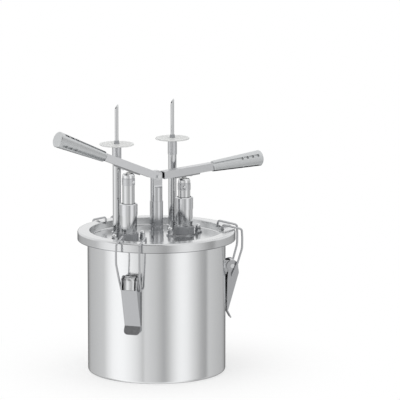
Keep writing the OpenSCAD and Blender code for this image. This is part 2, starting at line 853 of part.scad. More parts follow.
module rest_disc() {
  hole_r = needle_d / 2 + fit;
  edge = disc_t / 2;
  color("whitesmoke") translate([0, 0, disc_z]) rotate_extrude() {
    translate([hole_r, 0]) square([disc_d / 2 - edge - hole_r, disc_t]);
    translate([disc_d / 2 - edge, edge]) intersection() {
      circle(edge);
      translate([0, -edge]) square([edge, disc_t]);
    }
  }
}

module cone_nuts() {
  base = disc_z + disc_t;
  color("dimgray") for (side = [-1, 1]) at_riser(side) translate([0, 0, base]) difference() {
    cylinder(h = cone_nut_h, d1 = cone_nut_d, d2 = needle_d + 1.4);
    translate([0, 0, -1]) cylinder(h = cone_nut_h + 2, r = needle_d / 2 + fit);
  }
}

module needles() {
  tip = disc_z + disc_t + needle_h;
  foot = disc_z - needle_plug_h;
  color("gainsboro") for (side = [-1, 1]) at_riser(side) difference() {
    union() {
      translate([0, 0, foot]) cylinder(h = tip - foot, d = needle_d);
      translate([0, 0, foot]) cylinder(h = needle_plug_h, r = riser_bore / 2 - fit);
    }
    translate([0, 0, foot - 1]) cylinder(h = tip - foot + 2, d = needle_bore);
    translate([needle_d / 2, 0, tip]) rotate([0, needle_bevel, 0])
      translate([-5 * needle_d, -needle_d, -5 * needle_d])
        cube([5 * needle_d, 2 * needle_d, 10 * needle_d]);
  }
}

// ---------------------------------------------------------------- latches

// A latch is drawn with +X outwards, at the pot's centre, then turned to its place
module at_latch(i) {
  rotate([0, 0, latch_turns[i]]) children();
}

// Draws an outline of the X-Z plane as a slab that is w wide across Y
module slab(w) {
  translate([0, w / 2, 0]) rotate([90, 0, 0]) linear_extrude(w) children();
}

module latch_bracket() {
  ear = latch_pin_d / 2 + 2.5;
  top = latch_z + 8;
  foot = latch_z - 12;
  color("silver") difference() {
    union() {
      translate([pot_r - 2, -bracket_w / 2, foot])
        cube([2 + latch_sheet, bracket_w, top - foot]);
      difference() {
        slab(bracket_w) {
          polygon([[pot_r - 2, top], [latch_x - 4, top], [latch_x, latch_z + ear],
            [latch_x, latch_z - ear], [pot_r - 2, foot]]);
          translate([latch_x, latch_z]) circle(ear);
        }
        translate([pot_r - 3, -bracket_w / 2 + latch_sheet, foot - 1])
          cube([60, bracket_w - 2 * latch_sheet, top - foot + 2]);
      }
    }
    cylinder(h = ring_top, r = pot_r + pin_fit, $fn = 360);
    translate([latch_x, 0, latch_z])
      rotate([90, 0, 0]) cylinder(h = 2 * bracket_w, r = latch_pin_d / 2 + pin_fit, center = true);
  }
}

module latch_brackets() {
  for (i = [0:2]) at_latch(i) latch_bracket();
}

module latch_pins() {
  head = 0.7;
  half = latch_w / 2 + fit;
  color("whitesmoke") for (i = [0:2]) at_latch(i) translate([latch_x, 0, latch_z]) rotate([90, 0, 0]) {
    cylinder(h = 2 * half, d = latch_pin_d, center = true);
    for (side = [-1, 1])
      translate([0, 0, side * (half + head / 2)]) cylinder(h = head, d = latch_pin_d + 2.4, center = true);
  }
}

// Side outline of the latch lever: round ear at the pivot, deep flange, narrow foot
module latch_side() {
  polygon([
    [latch_x, latch_z],
    [latch_x + ear_r - 0.2, latch_z],
    plate_top,
    plate_foot,
    [plate_foot[0] - latch_sheet - 0.2, plate_foot[1]],
    [latch_x - 7.5, latch_z - 20],
    [latch_x - 6, latch_z - 5]
  ]);
  translate([latch_x, latch_z]) circle(ear_r);
}

module latch_lever_body() {
  run = plate_foot - plate_top;
  inward = unit([run[1], -run[0]]);
  a = plate_top + latch_sheet * inward;
  c = plate_foot + latch_sheet * inward;
  inner_w = latch_w - 2 * latch_sheet;
  color("silver") difference() {
    union() {
      slab(latch_w) latch_side();
      lip();
    }
    slab(inner_w) polygon([a - 2 * run, a, c, c + 0.1 * run, c + 40 * inward, a - 2 * run + 40 * inward]);
    slab(inner_w) translate([latch_x - 30, latch_z - 11]) square([60, 60]);
    translate([latch_x, 0, latch_z])
      rotate([90, 0, 0]) cylinder(h = 2 * latch_w, r = latch_pin_d / 2 + pin_fit, center = true);
    translate([bail_x, 0, bail_z])
      rotate([90, 0, 0]) cylinder(h = 2 * latch_w, r = bail_r + pin_fit, center = true);
  }
}

// The finger lip: a flat tongue with round lower corners, flared out from the lever's foot
module lip() {
  corner = 6;
  w = latch_w;
  translate([plate_foot[0] - 0.4, 0, plate_foot[1] + 0.9]) rotate([0, 90 - lip_turn, 0])
    translate([0, 0, -latch_sheet]) linear_extrude(latch_sheet) {
      translate([0, -w / 2]) square([lip_len - corner, w]);
      translate([0, -w / 2 + corner]) square([lip_len, w - 2 * corner]);
      for (side = [-1, 1]) translate([lip_len - corner, side * (w / 2 - corner)]) circle(corner);
    }
}

// The bail's corners from its bar, up one leg and over the ring to the tip of the hook
function bail_leg(side) = [
  [bail_x, side * leg_half, bail_z],
  [latch_x + 6.1, side * (leg_half + 1), latch_z + 3.2],
  [pot_r + 23, side * (leg_half + 2.9), ring_top - 29],
  [pot_r + 23.2, side * (leg_half + 2.9), ring_top - 14],
  [ring_r + 8, side * (leg_half + 2.6), ring_top - 1],
  [hook_x + 1.3, side * hook_half, ring_top + 6.6],
  [hook_x, side * hook_half, ring_top - 3]
];
leg_bends = [2.4, 20, 26, 20, 4, 2.6, 0];
function backwards(v) = [for (i = [len(v) - 1:-1:0]) v[i]];

module bail_body() {
  color("gainsboro") wire(
    concat(backwards(bail_leg(-1)), bail_leg(1)),
    concat(backwards(leg_bends), leg_bends),
    bail_r
  );
}

// ---------------------------------------------------------------- nodes

pot();
lid();
lid_gasket();
post();
post_nut();
pivot_pin();
on_lever(-1) lever_body();  // lever_left
on_lever(1) lever_body();  // lever_right
on_lever(-1) handle_body();  // handle_left
on_lever(1) handle_body();  // handle_right
on_lever(-1) wear_pad_body();  // wear_pad_left
on_lever(1) wear_pad_body();  // wear_pad_right
on_lever(-1) pad_screw_body();  // pad_screw_left
on_lever(1) pad_screw_body();  // pad_screw_right
pump_flanges();
flange_studs();
washers();
cap_nuts();
pump_collars();
at_pump(-1) pump_cylinder();  // cylinder_left
at_pump(1) pump_cylinder();  // cylinder_right
gland_caps();
gland_seals();
on_plunger(-1) rotate([0, 0, left_pin_turn]) plunger_rod_body();  // plunger_rod_left
on_plunger(1) rotate([0, 0, right_pin_turn]) plunger_rod_body();  // plunger_rod_right
on_plunger(-1) rotate([0, 0, left_pin_turn]) plunger_head_body();  // plunger_head_left
on_plunger(1) rotate([0, 0, right_pin_turn]) plunger_head_body();  // plunger_head_right
on_plunger(-1) contact_button_body();  // contact_button_left
on_plunger(1) contact_button_body();  // contact_button_right
on_plunger(-1) rotate([0, 0, left_pin_turn]) cross_pin_body();  // cross_pin_left
on_plunger(1) rotate([0, 0, right_pin_turn]) cross_pin_body();  // cross_pin_right
on_plunger(-1) piston_seals_body();  // piston_seals_left
on_plunger(1) piston_seals_body();  // piston_seals_right
return_spring(-1);  // return_spring_left
return_spring(1);  // return_spring_right
at_pump(-1) pump_foot();  // pump_foot_left
at_pump(1) pump_foot();  // pump_foot_right
inlet_seats();
inlet_ball(-1);  // inlet_ball_left
inlet_ball(1);  // inlet_ball_right
outlet_ball(-1);  // outlet_ball_left
outlet_ball(1);  // outlet_ball_right
riser_bosses();
at_riser(-1) riser();  // riser_left
at_riser(1) riser();  // riser_right
disc_sleeves();
at_riser(-1) rest_disc();  // rest_disc_left
at_riser(1) rest_disc();  // rest_disc_right
cone_nuts();
needles();
latch_brackets();
latch_pins();
at_latch(0) latch_lever_body();  // latch_lever_front
at_latch(1) latch_lever_body();  // latch_lever_right
at_latch(2) latch_lever_body();  // latch_lever_back
at_latch(0) bail_body();  // bail_front
at_latch(1) bail_body();  // bail_right
at_latch(2) bail_body();  // bail_back
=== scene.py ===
# %% [markdown]
# # Donut filler: its finishes and its studio
# The machine is a lidded stainless-steel pot with two lever pumps, and each pump feeds its own
# upright needle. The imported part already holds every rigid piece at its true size, so this script
# gives each piece the finish that the real one has, and then lights it as a product photograph is.
# Everything stands in metres in the part's own frame: the origin is the middle of the pot's
# bottom, +Z is up and +X runs along the right-hand lever.

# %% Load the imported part
import json
import math

import bmesh
import bpy
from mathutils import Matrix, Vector


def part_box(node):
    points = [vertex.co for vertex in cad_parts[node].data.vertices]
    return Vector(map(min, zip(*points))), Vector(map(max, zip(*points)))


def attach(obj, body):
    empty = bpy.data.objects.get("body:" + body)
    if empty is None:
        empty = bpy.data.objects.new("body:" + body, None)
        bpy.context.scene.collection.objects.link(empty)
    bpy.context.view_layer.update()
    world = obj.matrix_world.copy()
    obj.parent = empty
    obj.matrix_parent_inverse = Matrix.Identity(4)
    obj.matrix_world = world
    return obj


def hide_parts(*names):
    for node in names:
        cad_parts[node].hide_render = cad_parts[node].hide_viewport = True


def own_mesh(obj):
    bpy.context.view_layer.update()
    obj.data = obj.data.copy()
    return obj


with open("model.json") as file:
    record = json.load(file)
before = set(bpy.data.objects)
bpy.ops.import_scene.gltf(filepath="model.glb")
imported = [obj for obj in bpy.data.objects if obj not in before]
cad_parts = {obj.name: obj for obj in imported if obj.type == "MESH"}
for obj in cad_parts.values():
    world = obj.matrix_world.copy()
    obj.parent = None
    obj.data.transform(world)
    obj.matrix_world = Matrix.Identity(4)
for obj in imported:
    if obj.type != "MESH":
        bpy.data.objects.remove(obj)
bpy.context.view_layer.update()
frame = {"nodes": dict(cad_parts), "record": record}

scene = bpy.context.scene
cad = frame["nodes"]
print("CAD nodes loaded:", len(cad))

# %% [markdown]
# ## Small helpers
# A shader tree is a chain of nodes, so one helper adds a node, sets its properties and links its
# inputs in a single call. Colours are picked from a screen, where they are stored as sRGB, while
# the renderer counts in linear light, so every hex value goes through one conversion.

# %% Helpers for colours and shader nodes
MM = 0.001


def colour(hex_code):
    """An sRGB hex colour as linear RGBA, by the formula of the sRGB standard."""
    channels = [int(hex_code[i:i + 2], 16) / 255 for i in (1, 3, 5)]
    linear = [c / 12.92 if c <= 0.04045 else ((c + 0.055) / 1.055) ** 2.4 for c in channels]
    return (*linear, 1.0)


def add(tree, kind, inputs=None, **settings):
    """Adds a node. An input is given by name or number, as a value or as a socket to link."""
    node = tree.nodes.new(kind)
    for name, value in settings.items():
        setattr(node, name, value)
    for key, value in (inputs or {}).items():
        if isinstance(value, bpy.types.NodeSocket):
            tree.links.new(value, node.inputs[key])
        else:
            node.inputs[key].default_value = value
    return node


def new_material(name):
    """An empty material with its output node: returns the material, its tree and the output."""
    material = bpy.data.materials.new(name)
    material.use_nodes = True
    tree = material.node_tree
    tree.nodes.clear()
    return material, tree, add(tree, "ShaderNodeOutputMaterial")


def paint(material, *node_names):
    """Gives the named CAD nodes one material."""
    for name in node_names:
        cad[name].data.materials.clear()
        cad[name].data.materials.append(material)


print("middle grey is", round(colour("#808080")[0], 3), "in linear light")

# %% [markdown]
# ## How metal shows its making
# Bare steel has no colour pattern of its own. What tells a ground pot from a turned rod or a
# blasted sleeve is the direction and the size of its scratches. A noise texture gives them: drawn
# out along one direction it makes brush lines, and left even it makes a blasted skin. Each
# function below returns a grain, which says where on the noise each point of a piece lies. Real
# lines are about 0.1 mm apart, too fine to show at this distance, so they are drawn 0.5 to 0.9 mm
# apart.

# %% Grains: which way the scratches run
SLOWER_ALONG = 0.02  # the noise changes this much slower along a line than across it


def off_axis(tree, first, second):
    """How far a point lies from an axis, from its two coordinates across that axis."""
    flat = add(tree, "ShaderNodeCombineXYZ", {"X": first, "Y": second})
    length = add(tree, "ShaderNodeVectorMath", {0: flat.outputs[0]}, operation="LENGTH")
    return length.outputs["Value"]


def lines_around(spacing):
    """Grain of a wall ground or turned about an upright axis: level lines, spaced up the wall."""
    def grain(tree):
        point = add(tree, "ShaderNodeTexCoord").outputs["Object"]
        stretch = (SLOWER_ALONG / spacing, SLOWER_ALONG / spacing, 1 / spacing)
        drawn = add(tree, "ShaderNodeMapping", {"Vector": point, "Scale": stretch})
        return drawn.outputs[0]
    return grain


def lines_on_disc(spacing):
    """Grain of a lid turned on a lathe: rings on its flats and level lines on its walls."""
    def grain(tree):
        point = add(tree, "ShaderNodeTexCoord").outputs["Object"]
        place = add(tree, "ShaderNodeSeparateXYZ", {0: point}).outputs
        radius = off_axis(tree, place["X"], place["Y"])
        turned = add(tree, "ShaderNodeCombineXYZ", {"X": radius, "Z": place["Z"]})
        drawn = add(tree, "ShaderNodeMapping",
                    {"Vector": turned.outputs[0], "Scale": (1 / spacing,) * 3})
        return drawn.outputs[0]
    return grain


def lines_along(spacing, tilt):
    """Grain drawn along a bar that leans by tilt degrees in the XZ plane."""
    def grain(tree):
        point = add(tree, "ShaderNodeTexCoord").outputs["Object"]
        level = add(tree, "ShaderNodeMapping",
                    {"Vector": point, "Rotation": (0, math.radians(tilt), 0)})
        stretch = (SLOWER_ALONG / spacing, 1 / spacing, 1 / spacing)
        drawn = add(tree, "ShaderNodeMapping", {"Vector": level.outputs[0], "Scale": stretch})
        return drawn.outputs[0]
    return grain


def even_grain(spacing):
    """Grain with no direction, as blasting or tumbling leaves."""
    def grain(tree):
        point = add(tree, "ShaderNodeTexCoord").outputs["Object"]
        spread = add(tree, "ShaderNodeMapping", {"Vector": point, "Scale": (1 / spacing,) * 3})
        return spread.outputs[0]
    return grain


print("a line is", round(1 / SLOWER_ALONG), "times longer than its spacing")

# %% [markdown]
# The scratches do two things to the light: they blur what the metal mirrors, and they tip the
# surface by a hair. So the same noise drives the roughness and a very shallow bump. A second,
# slow noise stands for the wear of handling, which makes some patches duller than others.

# %% Bare metal
WEAR_SIZE = 45 * MM
WEAR_SHARE = 0.35
SCRATCH_SHARE = 0.65
NOISE_LOW, NOISE_HIGH = 0.3, 0.7  # nearly all of a noise texture lies between these


def metal_skin(tree, tint, roughness, spread, grain, depth, stretch_gloss=0.0):
    """The shader of a bare metal. grain gives the pattern's place, spread its effect on the
    roughness and depth its height. stretch_gloss draws reflections out across the grain."""
    scratches = add(tree, "ShaderNodeTexNoise",
                    {"Vector": grain(tree), "Scale": 1.0, "Detail": 3.0, "Roughness": 0.6})
    handling = add(tree, "ShaderNodeTexNoise",
                   {"Vector": even_grain(WEAR_SIZE)(tree), "Scale": 1.0, "Detail": 2.0})
    wear = add(tree, "ShaderNodeMath", {0: handling.outputs["Fac"], 1: WEAR_SHARE},
               operation="MULTIPLY")
    mixed = add(tree, "ShaderNodeMath",
                {0: scratches.outputs["Fac"], 1: SCRATCH_SHARE, 2: wear.outputs[0]},
                operation="MULTIPLY_ADD")
    gloss = add(tree, "ShaderNodeMapRange",
                {"Value": mixed.outputs[0], "From Min": NOISE_LOW, "From Max": NOISE_HIGH,
                 "To Min": roughness - spread, "To Max": roughness + spread})
    relief = add(tree, "ShaderNodeBump",
                 {"Height": scratches.outputs["Fac"], "Distance": depth, "Strength": 1.0})
    shade = add(tree, "ShaderNodeBsdfPrincipled",
                {"Base Color": colour(tint), "Metallic": 1.0, "Roughness": gloss.outputs[0],
                 "Normal": relief.outputs[0]})
    if stretch_gloss:
        around = add(tree, "ShaderNodeTangent", direction_type="RADIAL", axis="Z")
        tree.links.new(around.outputs[0], shade.inputs["Tangent"])
        shade.inputs["Anisotropic"].default_value = stretch_gloss
        # A quarter of a turn, so that reflections are drawn up the wall and not round it.
        shade.inputs["Anisotropic Rotation"].default_value = 0.25
    return shade.outputs[0]


def metal(name, **skin):
    """A material that is one bare metal all over. skin is what metal_skin takes."""
    material, tree, output = new_material(name)
    tree.links.new(metal_skin(tree, **skin), output.inputs["Surface"])
    return material


def two_metals(name, main, second, mask):
    """A material with two skins. mask is 1 where the second one shows."""
    material, tree, output = new_material(name)
    both = add(tree, "ShaderNodeMixShader",
               {"Fac": mask(tree), 1: metal_skin(tree, **main), 2: metal_skin(tree, **second)})
    tree.links.new(both.outputs[0], output.inputs["Surface"])
    return material


print("patches of wear are", round(WEAR_SIZE / MM), "mm wide")

# %% [markdown]
# ## Pot and lid
# The pot is drawn from 18/10 stainless sheet and ground round its wall, then polished to a soft
# mirror. Reflections on such a wall stay sharp from side to side and smear up and down, so the
# gloss is stretched upwards. The lid is spun and turned on a lathe, which leaves rings. It is a
# little duller than the pot. The lower edge of its ring is folded under, and the shade of the fold
# is painted there as a darker band. The fold is part of the lid's own solid, so a mask in the
# shader finds the band by its height.

# %% Pot and lid finishes
ground_steel = metal("polished ground stainless steel", tint="#e4e5e6", roughness=0.16,
                     spread=0.03, grain=lines_around(0.8 * MM), depth=0.0015 * MM,
                     stretch_gloss=0.7)
HEM_SHADE_BAND = 1.0 * MM
LID_TURNING = lines_on_disc(0.9 * MM)


def hem_painted_shade(tree):
    """1 on the lowest edge of the lid's ring, where the shade of its fold is painted darker."""
    point = add(tree, "ShaderNodeTexCoord").outputs["Object"]
    place = add(tree, "ShaderNodeSeparateXYZ", {0: point}).outputs
    low = add(tree, "ShaderNodeMath", {0: place["Z"], 1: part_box("lid")[0].z + HEM_SHADE_BAND},
              operation="LESS_THAN")
    return low.outputs[0]


turned_lid_steel = two_metals(
    "turned and polished stainless steel",
    main=dict(tint="#d4d5d6", roughness=0.17, spread=0.03, grain=LID_TURNING, depth=0.001 * MM),
    # painted shade: the band under the fold is tinted darker than the rest of the lid
    second=dict(tint="#9fa0a2", roughness=0.25, spread=0.03, grain=LID_TURNING, depth=0.001 * MM),
    mask=hem_painted_shade)
paint(ground_steel, "pot")
paint(turned_lid_steel, "lid")

# %% [markdown]
# ## Turned and polished pieces
# The pump cylinders, plungers, risers and needles are drawn tube and turned bar. Their faint
# rings run level round each upright axis, so the level-line grain serves them all, wherever the
# axis stands. Small parts such as nuts, pins and valve balls are tumbled until they shine, and
# that leaves no direction. The bails and springs are drawn wire, which stays a little duller.

# %% Tubes, rods and small bright parts
LEVEL_TURNING = lines_around(0.6 * MM)
turned_steel = metal("turned stainless steel tube", tint="#d3d4d5", roughness=0.07,
                     spread=0.02, grain=LEVEL_TURNING, depth=0.0006 * MM)
tumbled_steel = metal("tumbled bright stainless steel", tint="#e0e1e2", roughness=0.07,
                      spread=0.02, grain=even_grain(1.5 * MM), depth=0.0005 * MM)
drawn_wire = metal("drawn stainless steel wire", tint="#b9babc", roughness=0.12,
                   spread=0.03, grain=even_grain(1.2 * MM), depth=0.0005 * MM)
paint(turned_steel, "cylinder_left", "cylinder_right", "plunger_rod_left",
      "plunger_rod_right", "riser_left", "riser_right", "needles", "riser_bosses",
      "pump_foot_left", "pump_foot_right", "inlet_seats")
paint(tumbled_steel, "cap_nuts", "washers", "flange_studs", "cross_pin_left", "cross_pin_right",
      "pivot_pin", "latch_pins", "inlet_ball_left", "inlet_ball_right", "outlet_ball_left",
      "outlet_ball_right", "post_nut", "pad_screw_left", "pad_screw_right")
paint(drawn_wire, "bail_front", "bail_right", "bail_back", "return_spring_left",
      "return_spring_right")
bright = [name for name, piece in cad.items() if piece.data.materials[0] == tumbled_steel]
print("tumbled nodes:", len(bright))

# %% [markdown]
# The rod of each pump slides through its gland cap with a narrow groove round it, and the shade
# in the groove is painted dark. The groove belongs to the cap's own solid, so a mask in the shader
# finds it: the points that lie nearer to the pump's axis than the groove's rim. The caps are round,
# so their reach along Y is their radius, and what is left of their reach along X is the pump's
# axis.

# %% Gland caps with painted shade in the groove
caps_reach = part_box("gland_caps")[1]
PUMP_AXIS = caps_reach.x - caps_reach.y
GROOVE_RIM = 10.4 * MM


def groove_painted_shade(tree):
    """1 inside the groove of either gland cap, where shade is painted."""
    point = add(tree, "ShaderNodeTexCoord").outputs["Object"]
    place = add(tree, "ShaderNodeSeparateXYZ", {0: point}).outputs
    out = add(tree, "ShaderNodeMath", {0: place["X"]}, operation="ABSOLUTE")
    off = add(tree, "ShaderNodeMath", {0: out.outputs[0], 1: PUMP_AXIS}, operation="SUBTRACT")
    near = add(tree, "ShaderNodeMath",
               {0: off_axis(tree, off.outputs[0], place["Y"]), 1: GROOVE_RIM},
               operation="LESS_THAN")
    return near.outputs[0]


gland_steel = two_metals(
    "turned gland cap",
    main=dict(tint="#d4d5d7", roughness=0.12, spread=0.03, grain=LEVEL_TURNING,
              depth=0.0006 * MM),
    # painted shade: the groove's skin is tinted nearly black
    second=dict(tint="#3c3d3f", roughness=0.4, spread=0.03, grain=LEVEL_TURNING,
                depth=0.001 * MM),
    mask=groove_painted_shade)
paint(gland_steel, "gland_caps")
print("pump axis at", round(PUMP_AXIS / MM, 2), "mm, groove rim at", round(GROOVE_RIM / MM, 2))

# %% [markdown]
# ## Satin and blasted pieces
# The square lever tubes are brushed along their length, so their grain has to lean with each
# lever, and the right tube is painted a little darker than the left as shade. The flanges and latch
# levers are brushed sheet, and the post is turned with a fine feed. The sleeves under the rest
# discs are blasted with glass beads, which gives an even matt skin.

# %% Blasted and brushed finishes
LEFT_TILT = 22.5
RIGHT_TILT = -3.0
BEADS = dict(tint="#cdced0", roughness=0.36, spread=0.04, grain=even_grain(0.7 * MM),
             depth=0.003 * MM)
blasted_steel = metal("bead-blasted stainless steel", **BEADS)
post_steel = metal("fine-turned stainless steel", tint="#cbccce", roughness=0.13,
                   spread=0.04, grain=lines_around(0.7 * MM), depth=0.001 * MM)
sheet_steel = metal("brushed stainless sheet", tint="#b6b7b9", roughness=0.24,
                    spread=0.04, grain=lines_around(0.5 * MM), depth=0.0006 * MM)
left_tube_steel = metal("brushed square tube, left", tint="#d9dadc", roughness=0.33,
                        spread=0.05, grain=lines_along(0.7 * MM, LEFT_TILT), depth=0.001 * MM)
# painted shade: same tube as the left one, tinted a little darker
right_tube_steel_shaded = metal("brushed square tube, right", tint="#d0d1d3", roughness=0.33,
                         spread=0.05, grain=lines_along(0.7 * MM, RIGHT_TILT), depth=0.001 * MM)
paint(blasted_steel, "disc_sleeves")
paint(post_steel, "post")
paint(sheet_steel, "pump_flanges", "latch_brackets", "latch_lever_front", "latch_lever_right",
      "latch_lever_back")
paint(left_tube_steel, "lever_left")
paint(right_tube_steel_shaded, "lever_right")
print("levers lean by", LEFT_TILT, "and", RIGHT_TILT, "degrees")

# %% [markdown]
# The plunger heads are polished on top, where the wear pad of the lever rubs, and blasted round
# the band below. The two finishes meet at a level edge, so again a mask by height tells them
# apart, measured down from the top of each head.

# %% Plunger heads, polished above the blasted band
POLISHED_TOP = 6.2 * MM
POLISH = dict(tint="#e0e1e2", roughness=0.07, spread=0.02, grain=LEVEL_TURNING,
              depth=0.0004 * MM)


def polished_top(edge):
    """A mask that is 1 above the height of this edge."""
    def mask(tree):
        point = add(tree, "ShaderNodeTexCoord").outputs["Object"]
        place = add(tree, "ShaderNodeSeparateXYZ", {0: point}).outputs
        high = add(tree, "ShaderNodeMath", {0: place["Z"], 1: edge}, operation="GREATER_THAN")
        return high.outputs[0]
    return mask


for side in ("left", "right"):
    head = "plunger_head_" + side
    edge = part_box(head)[1].z - POLISHED_TOP
    paint(two_metals("polished and blasted steel, " + side + " head",
                     main=BEADS, second=POLISH, mask=polished_top(edge)), head)
    print(head, "is polished above", round(edge / MM, 1), "mm")

# %% [markdown]
# The handles are aluminium castings. Their outside is ground and satin anodised, but the pockets
# keep the rough skin of the mould, and the shade in them is painted as a darker tint. The mask
# measures how far each point lies from the handle's own axis, and compares it with the cone of the
# outside. The handle's end face lies nearer to the axis than that cone too, so the mask stops short
# of it.

# %% Handles with painted shade in the pockets
pin_low, pin_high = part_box("pivot_pin")
PIVOT_HEIGHT = (pin_low.z + pin_high.z) / 2
NECK, TIP = 96 * MM, 181 * MM  # the handle's two ends, measured along the lever from its pivot
NECK_RADIUS, TIP_RADIUS = 7.75 * MM, 11.65 * MM
POCKET_EDGE = 0.5 * MM
END_FACE = 1.5 * MM
ANODISED = dict(tint="#ced0d1", roughness=0.38, spread=0.04, grain=even_grain(0.8 * MM),
                depth=0.002 * MM)
# the rough skin of the mould, with the shade in the pockets painted into its darker tint
CAST_SKIN_AND_PAINTED_SHADE = dict(tint="#85878a", roughness=0.5, spread=0.04, grain=even_grain(1.2 * MM),
               depth=0.01 * MM)


def pockets(tilt):
    """A mask that is 1 in the pockets of the handle on the lever leaning by tilt degrees: painted
    shade.
    """
    def mask(tree):
        point = add(tree, "ShaderNodeTexCoord").outputs["Object"]
        moved = add(tree, "ShaderNodeMapping",
                    {"Vector": point, "Location": (0, 0, -PIVOT_HEIGHT)})
        level = add(tree, "ShaderNodeMapping",
                    {"Vector": moved.outputs[0], "Rotation": (0, math.radians(tilt), 0)})
        place = add(tree, "ShaderNodeSeparateXYZ", {0: level.outputs[0]}).outputs
        along = add(tree, "ShaderNodeMath", {0: place["X"]}, operation="ABSOLUTE").outputs[0]
        cone = add(tree, "ShaderNodeMapRange",
                   {"Value": along, "From Min": NECK, "From Max": TIP,
                    "To Min": NECK_RADIUS - POCKET_EDGE, "To Max": TIP_RADIUS - POCKET_EDGE})
        sunk = add(tree, "ShaderNodeMath",
                   {0: off_axis(tree, place["Y"], place["Z"]), 1: cone.outputs[0]},
                   operation="LESS_THAN")
        short = add(tree, "ShaderNodeMath", {0: along, 1: TIP - END_FACE},
                    operation="LESS_THAN")
        both = add(tree, "ShaderNodeMath", {0: sunk.outputs[0], 1: short.outputs[0]},
                   operation="MULTIPLY")
        return both.outputs[0]
    return mask


for side, tilt in (("left", LEFT_TILT), ("right", RIGHT_TILT)):
    paint(two_metals("satin anodised aluminium, " + side,
                     main=ANODISED, second=CAST_SKIN_AND_PAINTED_SHADE, mask=pockets(tilt)), "handle_" + side)
print("levers turn", round(PIVOT_HEIGHT / MM, 1), "mm above the pot's bottom")

# %% [markdown]
# ## Tongues of the latches
# Each latch lever is pressed from one sheet. A tongue in its middle runs up from the front plate
# and curls over the pivot pin, so that the pin is held and no finger reaches the joint. A bent
# strip is a path with a flat profile, which is what a small Geometry Nodes tree is good at: it
# rounds the corner of a drawn path, sweeps the sheet along it and turns it to its latch.

# %% The tree that bends one tongue
CURL_STEPS = 14  # straight steps in the rounded corner
UPRIGHT = (math.pi / 2, 0, 0)


def tongue_tree():
    """Path in, bent sheet out. The path is drawn flat: X is outwards and Y is up."""
    tree = bpy.data.node_groups.new("latch tongue", "GeometryNodeTree")
    tree.interface.new_socket("Geometry", in_out="OUTPUT", socket_type="NodeSocketGeometry")
    tree.interface.new_socket("Geometry", in_out="INPUT", socket_type="NodeSocketGeometry")
    for name in ("Curl radius", "Tongue width", "Sheet thickness", "Turn"):
        tree.interface.new_socket(name, in_out="INPUT", socket_type="NodeSocketFloat")
    tree.interface.new_socket("Metal", in_out="INPUT", socket_type="NodeSocketMaterial")
    given = add(tree, "NodeGroupInput").outputs
    path = add(tree, "GeometryNodeMeshToCurve", {"Mesh": given["Geometry"]})
    bent = add(tree, "GeometryNodeFilletCurve",
               {"Curve": path.outputs[0], "Radius": given["Curl radius"], "Count": CURL_STEPS,
                "Limit Radius": True}, mode="POLY")
    flat = add(tree, "GeometryNodeSetCurveNormal", {"Curve": bent.outputs[0]}, mode="Z_UP")
    profile = add(tree, "GeometryNodeCurvePrimitiveQuadrilateral",
                  {"Width": given["Sheet thickness"], "Height": given["Tongue width"]})
    strip = add(tree, "GeometryNodeCurveToMesh",
                {"Curve": flat.outputs[0], "Profile Curve": profile.outputs[0],
                 "Fill Caps": True})
    stood = add(tree, "GeometryNodeTransform",
                {"Geometry": strip.outputs[0], "Rotation": UPRIGHT})
    about = add(tree, "ShaderNodeCombineXYZ", {"Z": given["Turn"]})
    turned = add(tree, "GeometryNodeTransform",
                 {"Geometry": stood.outputs[0], "Rotation": about.outputs[0]})
    real = add(tree, "GeometryNodeRealizeInstances", {"Geometry": turned.outputs[0]})
    coated = add(tree, "GeometryNodeSetMaterial",
                 {"Geometry": real.outputs[0], "Material": given["Metal"]})
    add(tree, "NodeGroupOutput", {"Geometry": coated.outputs[0]})
    return tree


bend_tongue = tongue_tree()
print("tongue tree has", len(bend_tongue.nodes), "nodes")

# %% [markdown]
# A modifier's input is set by its socket's identifier. Then the evaluated object becomes a plain
# mesh, the modifier goes, and the tongue rides on the body of its own latch. The sheet is the
# brushed steel of the latch, but its curl is pressed in a die, which evens out the brush lines.
# Its tint is painted lighter than the latch's, as the light that the curl catches.

# %% Three tongues
# painted light: the same sheet as the latch, tinted lighter
bent_sheet_painted_light = metal("bright bent sheet", tint="#dcddde", roughness=0.34, spread=0.04,
                   grain=even_grain(0.8 * MM), depth=0.001 * MM)
# Three points of the path: how far each lies from the pot's axis, and how high.
TONGUE_PATH = [(118.5 * MM, 140.2 * MM), (116.95 * MM, 158.0 * MM), (108.6 * MM, 158.0 * MM)]
TONGUE_SIZES = {"Curl radius": 7.1 * MM, "Tongue width": 15.6 * MM, "Sheet thickness": 1.3 * MM}
LATCH_TURNS = {"front": 217.5, "right": 337.5, "back": 97.5}  # degrees round the pot from +X


def set_input(modifier, name, value):
    """Sets one of the tree's inputs on the modifier that uses it."""
    socket = next(item for item in modifier.node_group.interface.items_tree
                  if item.name == name and item.in_out == "INPUT")
    modifier[socket.identifier] = value


def make_tongue(latch, turn):
    """One tongue as a plain mesh on the body of its latch."""
    line = bpy.data.meshes.new("tongue path")
    line.from_pydata([(x, y, 0) for x, y in TONGUE_PATH], [(0, 1), (1, 2)], [])
    drawn = bpy.data.objects.new("tongue path", line)
    scene.collection.objects.link(drawn)
    bend = drawn.modifiers.new("bend", "NODES")
    bend.node_group = bend_tongue
    for name, size in TONGUE_SIZES.items():
        set_input(bend, name, size)
    set_input(bend, "Turn", math.radians(turn))
    set_input(bend, "Metal", bent_sheet_painted_light)
    ready = drawn.evaluated_get(bpy.context.evaluated_depsgraph_get())
    mesh = bpy.data.meshes.new_from_object(ready)
    drawn.modifiers.remove(bend)
    bpy.data.objects.remove(drawn)
    tongue = bpy.data.objects.new("latch_tongue_" + latch, mesh)
    scene.collection.objects.link(tongue)
    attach(tongue, "latch_" + latch)
    return tongue


